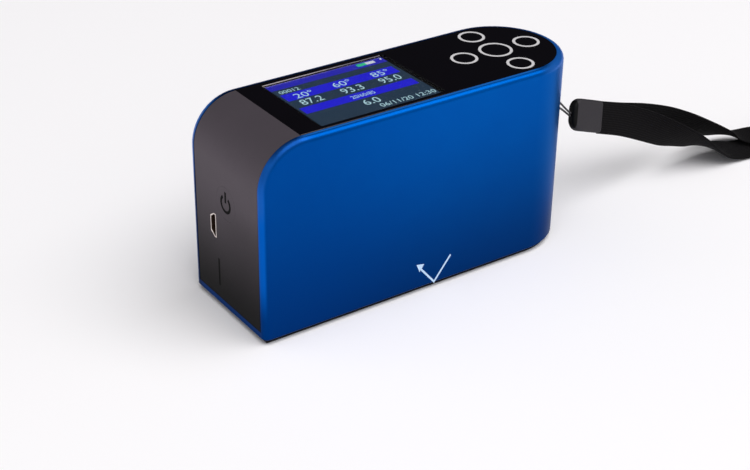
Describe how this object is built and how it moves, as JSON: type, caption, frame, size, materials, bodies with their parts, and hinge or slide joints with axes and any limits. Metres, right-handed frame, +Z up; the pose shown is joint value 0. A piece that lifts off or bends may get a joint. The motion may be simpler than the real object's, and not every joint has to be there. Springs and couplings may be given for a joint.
{
  "type": "handheld gloss meter",
  "caption": "Slim upright gloss meter, round at one end, with a top display, touch keys, an end cover with power key and socket, a base aperture and a wrist strap.",
  "frame": {"origin": "middle of the base, on the surface the meter stands on", "axes": "+X along the body to its round end and the strap, +Y across it, away from the side with the arrow mark, +Z up"},
  "size_m": [0.2952, 0.0492, 0.0751],
  "materials": {
    "casing": "blue anodised aluminium, fine satin",
    "end_cover": "dark grey, fine mould texture",
    "base_plate": "black",
    "screws": "plain steel",
    "top_panel": "polished black",
    "display_window": "clear",
    "display_module": "lit screen",
    "key_print": "pale grey print",
    "sensor_foam": "black foam",
    "circuit_board": "green solder mask",
    "battery": "silver wrap",
    "pillars": "turned",
    "optics_block": "black, light absorbing",
    "lenses": "polished",
    "lamps": "white",
    "detectors": "black",
    "power_button": "dark grey, fine mould texture",
    "switch_plunger": "white",
    "switch_body": "black",
    "socket_metal": "tinned steel",
    "socket_plastic": "black",
    "strap_cord": "black braid",
    "strap_sleeve": "moulded, matt",
    "strap_webbing": "black woven"
  },
  "bodies": {
    "meter": {"casing": "casing", "end_cover": "end_cover", "base_plate": "base_plate", "base_screw_1": "screws", "base_screw_2": "screws", "base_screw_3": "screws", "base_screw_4": "screws", "top_panel": "top_panel", "display_window": "display_window", "display_module": "display_module", "key_ring_left": "key_print", "key_ring_right": "key_print", "key_ring_back": "key_print", "key_ring_front": "key_print", "key_ring_centre": "key_print", "key_sensor_left": "sensor_foam", "key_sensor_right": "sensor_foam", "key_sensor_back": "sensor_foam", "key_sensor_front": "sensor_foam", "key_sensor_centre": "sensor_foam", "display_board": "circuit_board", "main_board": "circuit_board", "battery": "battery", "lower_pillar_1": "pillars", "lower_pillar_2": "pillars", "lower_pillar_3": "pillars", "lower_pillar_4": "pillars", "upper_pillar_1": "pillars", "upper_pillar_2": "pillars", "upper_pillar_3": "pillars", "upper_pillar_4": "pillars", "board_screw_1": "screws", "board_screw_2": "screws", "board_screw_3": "screws", "board_screw_4": "screws", "optics_block": "optics_block", "source_lens_20": "lenses", "receiver_lens_20": "lenses", "lamp_20": "lamps", "detector_20": "detectors", "source_lens_60": "lenses", "receiver_lens_60": "lenses", "lamp_60": "lamps", "detector_60": "detectors", "source_lens_85": "lenses", "receiver_lens_85": "lenses", "lamp_85": "lamps", "detector_85": "detectors", "switch_body": "switch_body", "io_board": "circuit_board", "usb_shell": "socket_metal", "usb_tongue": "socket_plastic", "strap_cord": "strap_cord", "strap_sleeve": "strap_sleeve", "strap_webbing": "strap_webbing"},
    "power_key": {"power_button": "power_button", "switch_plunger": "switch_plunger"}
  },
  "joints": [
    {"name": "power_key_press", "type": "slide", "parent": "meter", "child": "power_key", "axis": [1, 0, 0], "range_m": [0, 0.0005], "stiffness_N_per_m": 3000, "springref_m": -0.0001}
  ]
}
